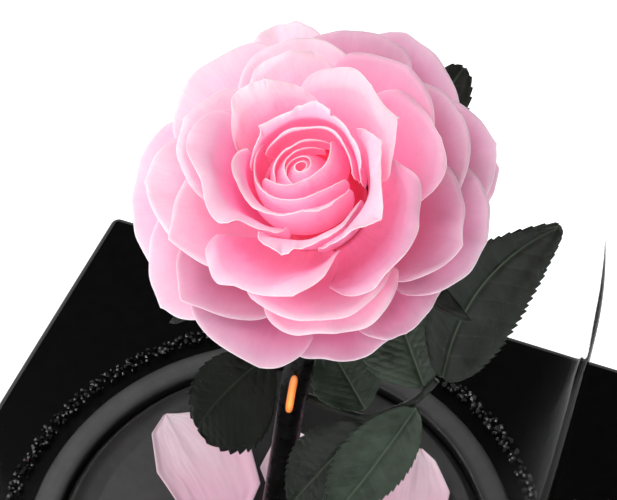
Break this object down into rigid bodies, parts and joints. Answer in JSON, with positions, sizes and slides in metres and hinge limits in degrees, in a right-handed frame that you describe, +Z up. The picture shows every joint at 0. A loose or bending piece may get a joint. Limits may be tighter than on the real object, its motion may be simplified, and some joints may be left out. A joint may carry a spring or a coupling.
{
  "type": "preserved rose in a glass dome",
  "caption": "Preserved pink rose on a black stem with leaves and fallen petals, on a square black base with a round tray and a glittering ring, under a clear glass dome.",
  "frame": {"origin": "centre of the underside of the square base", "axes": "+Z up, -Y towards the front, +X to the right seen from the front"},
  "size_m": [0.2, 0.2, 0.243],
  "materials": {
    "petal_pink": "soft preserved rose petals, pale at the rims and deep pink in the folds",
    "fallen_petal_pink": "loose soft petals, pale pink",
    "leaf_green": "dark grey-green preserved leaves with pale veins",
    "stem_black": "glossy black",
    "lamp_amber": "warm lit lamp",
    "base_black": "black with a soft sheen",
    "tray_black": "dark grey with a soft sheen",
    "ring_grey": "smooth grey ring",
    "sparkle_black": "black glittering crystals",
    "clear_glass": "clear glass"
  },
  "bodies": {
    "root": {"bud_petal_1": "petal_pink", "bud_petal_2": "petal_pink", "bud_petal_3": "petal_pink", "bud_petal_4": "petal_pink", "bud_petal_5": "petal_pink", "bud_petal_6": "petal_pink", "bud_petal_7": "petal_pink", "bud_petal_8": "petal_pink", "inner_petal_1": "petal_pink", "inner_petal_2": "petal_pink", "inner_petal_3": "petal_pink", "inner_petal_4": "petal_pink", "inner_petal_5": "petal_pink", "middle_petal_1": "petal_pink", "middle_petal_2": "petal_pink", "middle_petal_3": "petal_pink", "middle_petal_4": "petal_pink", "middle_petal_5": "petal_pink", "middle_petal_6": "petal_pink", "middle_petal_7": "petal_pink", "middle_petal_8": "petal_pink", "middle_petal_9": "petal_pink", "outer_petal_1": "petal_pink", "outer_petal_2": "petal_pink", "outer_petal_3": "petal_pink", "outer_petal_4": "petal_pink", "outer_petal_5": "petal_pink", "outer_petal_6": "petal_pink", "outer_petal_7": "petal_pink", "outer_petal_8": "petal_pink", "outer_petal_9": "petal_pink", "outer_petal_10": "petal_pink", "outer_petal_11": "petal_pink", "outer_petal_12": "petal_pink", "outer_petal_13": "petal_pink", "outer_petal_14": "petal_pink", "outer_petal_15": "petal_pink", "outer_petal_16": "petal_pink", "outer_petal_17": "petal_pink", "flower_heart": "petal_pink", "calyx": "leaf_green", "stem": "stem_black", "stem_collar": "stem_black", "stem_lamp": "lamp_amber", "leaf_stalk": "leaf_green", "left_leaf": "leaf_green", "right_leaf": "leaf_green", "middle_leaf": "leaf_green", "behind_leaf": "leaf_green", "lower_right_leaf": "leaf_green", "lower_leaf": "leaf_green", "back_leaf": "leaf_green", "fallen_petal_1": "fallen_petal_pink", "fallen_petal_2": "fallen_petal_pink", "fallen_petal_3": "fallen_petal_pink", "square_base": "base_black", "round_tray": "tray_black", "light_ring": "ring_grey", "sparkle_ring": "sparkle_black", "glass_dome": "clear_glass"}
  },
  "joints": []
}
